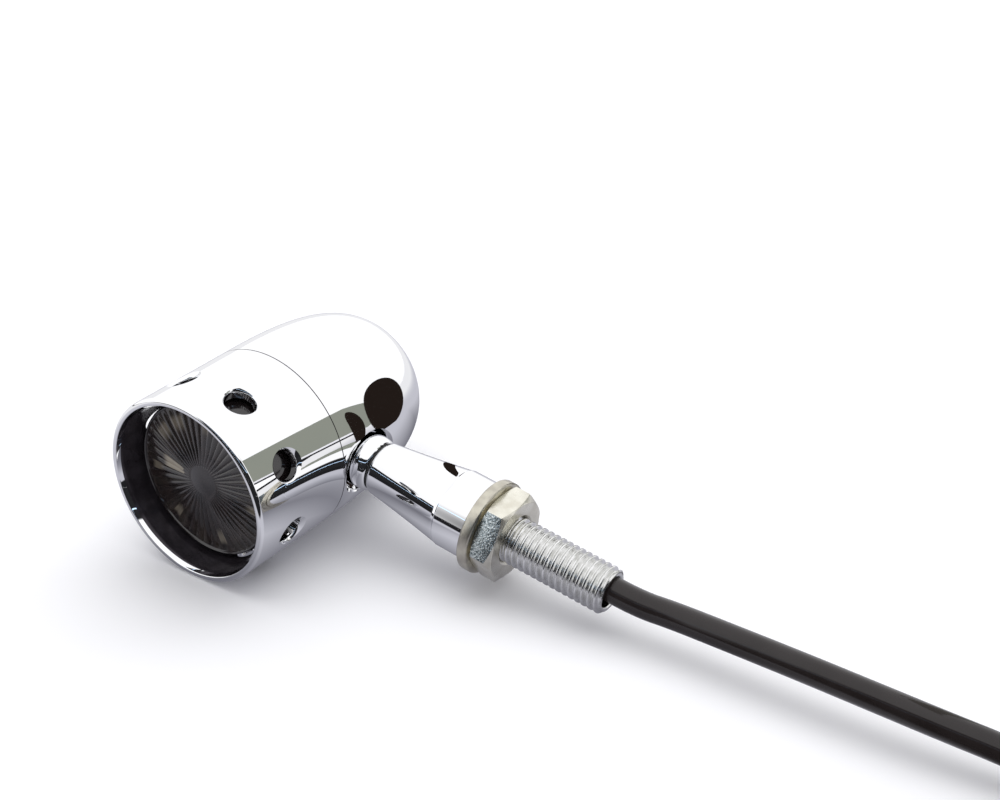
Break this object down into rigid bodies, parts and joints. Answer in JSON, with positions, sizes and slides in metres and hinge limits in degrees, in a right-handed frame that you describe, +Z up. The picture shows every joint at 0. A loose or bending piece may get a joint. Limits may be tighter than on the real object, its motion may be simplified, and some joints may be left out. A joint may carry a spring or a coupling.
{
  "type": "motorcycle turn signal indicator",
  "caption": "Bullet-shaped motorcycle turn signal: chrome head with a holed front shroud and smoked lens, on a tapered swivel stem with a hollow threaded mounting stud and its cable.",
  "frame": {"origin": "on the surface that the lamp lies on, under the middle of the lamp without its free cable", "axes": "+Z up, +Y back along the head's axis with the lens at -Y, the stem leaves towards +X and points 8.4 degrees down"},
  "size_m": [0.2418, 0.102, 0.0407],
  "materials": {
    "chrome": "polished decorative chrome plate",
    "smoked_lens": "smoked acrylic, glossy, radial flutes",
    "seal_rubber": "matt black rubber",
    "circuit_board": "green solder mask",
    "led_package": "white package with yellow phosphor",
    "component_black": "moulded black epoxy",
    "screw_steel": "bright steel",
    "zinc_plate": "bright zinc plate on a rolled thread",
    "washer_zinc": "dull zinc plate",
    "nut_zinc": "yellowish zinc plate, one grainy facet",
    "cable_sleeve": "glossy black PVC",
    "earth_insulation": "black PVC wire",
    "signal_insulation": "orange PVC wire",
    "heat_shrink": "semi-matt black heat-shrink",
    "terminal_insulation": "translucent PVC",
    "terminal_brass": "bright brass"
  },
  "bodies": {
    "arm": {"neck_seal": "seal_rubber", "swivel_bolt": "screw_steel", "spring_washer": "screw_steel", "stem": "chrome", "mounting_stud": "zinc_plate", "inner_cable": "cable_sleeve", "cable": "cable_sleeve", "cable_coil": "cable_sleeve", "cable_boot": "heat_shrink", "earth_tail": "earth_insulation", "signal_tail": "signal_insulation", "terminal_sleeves": "terminal_insulation", "bullet_terminals": "terminal_brass"},
    "head": {"front_shroud": "chrome", "rear_housing": "chrome", "lens": "smoked_lens", "lens_gasket": "seal_rubber", "led_board": "circuit_board", "leds": "led_package", "driver_parts": "component_black", "board_screws": "screw_steel", "neck_collar": "chrome", "earth_wire": "earth_insulation", "signal_wire": "signal_insulation"},
    "washer": {"flat_washer": "washer_zinc"},
    "nut": {"hex_nut": "nut_zinc"}
  },
  "joints": [
    {"name": "head_swivel", "type": "hinge", "parent": "arm", "child": "head", "pos_m": [-0.01295, 0.00285, 0.01787], "axis": [0.9893, 0, -0.1461], "range_deg": [-90, 90]},
    {"name": "nut_travel", "type": "slide", "parent": "arm", "child": "washer", "axis": [0.9893, 0, -0.1461], "range_m": [0, 0.02]},
    {"name": "nut_turn", "type": "hinge", "parent": "washer", "child": "nut", "pos_m": [0.02425, 0.00285, 0.01237], "axis": [0.9893, 0, -0.1461], "range_deg": [0, 4801]}
  ],
  "couplings": [
    {"joint": "nut_turn", "follows": "nut_travel", "rad_per_m": 4188.8}
  ]
}
